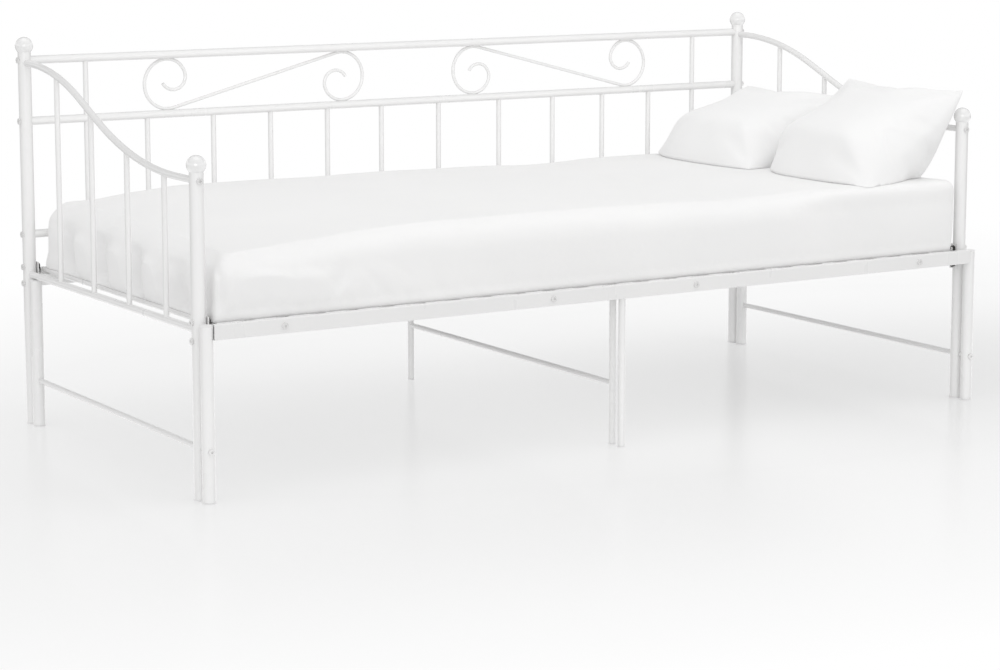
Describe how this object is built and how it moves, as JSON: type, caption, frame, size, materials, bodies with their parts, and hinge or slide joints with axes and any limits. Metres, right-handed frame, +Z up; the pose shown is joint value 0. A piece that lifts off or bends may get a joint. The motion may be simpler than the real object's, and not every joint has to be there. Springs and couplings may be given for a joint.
{
  "type": "daybed",
  "caption": "Tube-frame daybed with a scrolled back panel, curved arms and a frame that slides out at the front to widen the bed, with a mattress and pillows.",
  "frame": {"origin": "on the floor, under the middle of the overall box with the pull-out frame closed", "axes": "+X along the bed, towards the end with the pillows; +Y to the back panel; +Z up"},
  "size_m": [2.081, 0.981, 0.9025],
  "materials": {
    "white_steel": "satin",
    "finial_white": "gloss",
    "foot_plastic": "matte",
    "cap_plastic": "satin",
    "bolt_steel": "satin",
    "nut_black": "satin",
    "plug_zinc": "satin",
    "mattress_cover": "matte",
    "pillow_case": "matte"
  },
  "bodies": {
    "main_frame": {"arm_left_lower_rail": "white_steel", "arm_left_spindles": "white_steel", "arm_left_top_tube": "white_steel", "arm_right_lower_rail": "white_steel", "arm_right_spindles": "white_steel", "arm_right_top_tube": "white_steel", "back_end_bars": "white_steel", "back_lower_rail": "white_steel", "back_middle_rail": "white_steel", "back_spindles": "white_steel", "back_top_rail": "white_steel", "base_bolts": "bolt_steel", "base_nuts": "nut_black", "finial_front_left": "finial_white", "finial_front_right": "finial_white", "finial_rear_left": "finial_white", "finial_rear_right": "finial_white", "main_foot_caps": "foot_plastic", "main_front_middle_leg": "white_steel", "main_front_rail_left": "white_steel", "main_front_rail_right": "white_steel", "main_rail_joiners": "white_steel", "main_rear_middle_leg": "white_steel", "main_rear_rail_left": "white_steel", "main_rear_rail_right": "white_steel", "main_slats": "white_steel", "mattress": "mattress_cover", "middle_stretcher": "white_steel", "panel_bolts": "bolt_steel", "pillow_front": "pillow_case", "pillow_rear": "pillow_case", "post_front_left": "white_steel", "post_front_right": "white_steel", "post_rear_left": "white_steel", "post_rear_right": "white_steel", "rail_brackets": "white_steel", "scroll_left": "white_steel", "scroll_right": "white_steel", "threaded_plugs": "plug_zinc"},
    "pull_out_frame": {"deck_strip_left": "white_steel", "deck_strip_right": "white_steel", "front_rail_bolts": "bolt_steel", "front_rail_nuts": "nut_black", "leg_top_caps": "cap_plastic", "pull_out_crossbar_left": "white_steel", "pull_out_crossbar_right": "white_steel", "pull_out_foot_caps": "foot_plastic", "pull_out_front_rail_left": "white_steel", "pull_out_front_rail_right": "white_steel", "pull_out_joiners": "white_steel", "pull_out_leg_front_left": "white_steel", "pull_out_leg_front_right": "white_steel", "pull_out_leg_rear_left": "white_steel", "pull_out_leg_rear_right": "white_steel", "pull_out_middle_leg": "white_steel", "pull_out_slats": "white_steel", "slide_rod_bolts": "bolt_steel", "slide_rod_left": "white_steel", "slide_rod_right": "white_steel"}
  },
  "joints": [
    {"name": "pull_out_slide", "type": "slide", "parent": "main_frame", "child": "pull_out_frame", "axis": [0, -1, 0], "range_m": [0, 0.833]}
  ]
}
